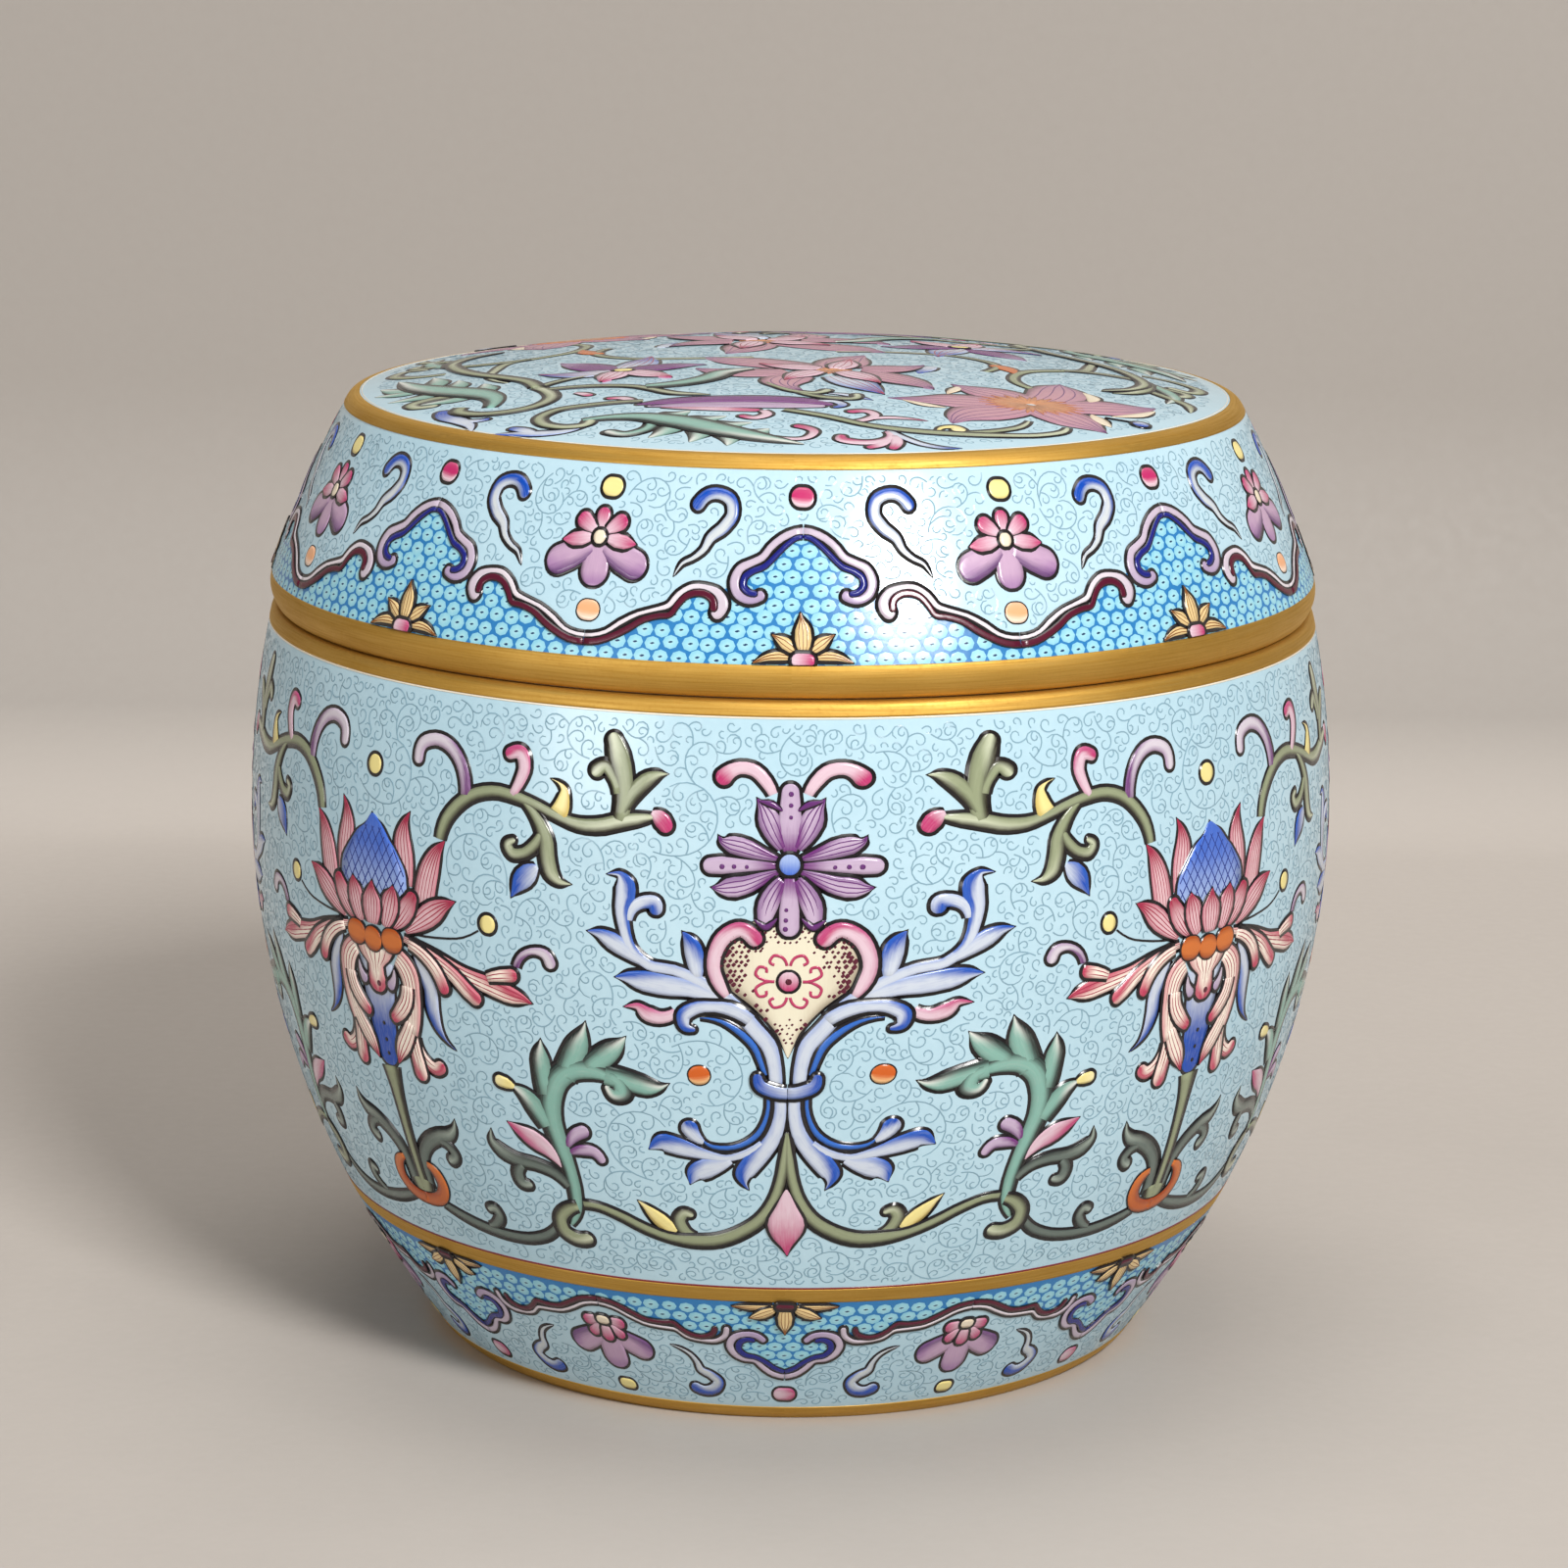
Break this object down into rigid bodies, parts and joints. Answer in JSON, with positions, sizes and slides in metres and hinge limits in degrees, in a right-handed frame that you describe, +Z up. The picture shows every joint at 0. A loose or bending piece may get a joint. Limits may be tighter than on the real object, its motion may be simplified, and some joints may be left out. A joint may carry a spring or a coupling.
{
  "type": "lidded porcelain jar",
  "caption": "Round porcelain jar with a swelling body on a flared foot and a shallow domed lift-off lid that seats over an upright neck; hollow and empty.",
  "frame": {"origin": "middle of the foot ring, on the surface that the jar stands on", "axes": "+Z up along the axis that the jar is turned on; the jar is round, and -Y is the side that the picture shows"},
  "size_m": [0.16, 0.16, 0.1452],
  "materials": {
    "turquoise_glaze": "glossy turquoise enamel over white porcelain, with fine incised scrolls",
    "painted_enamel": "glossy opaque overglaze enamels, standing slightly proud, in rose, violet, blue, green, yellow and cream",
    "white_glaze": "plain glossy white glaze inside and underneath",
    "gilding": "satin painted gold, slightly worn"
  },
  "bodies": {
    "root": {"jar_body": "turquoise_glaze", "jar_lid": "turquoise_glaze"}
  },
  "joints": []
}
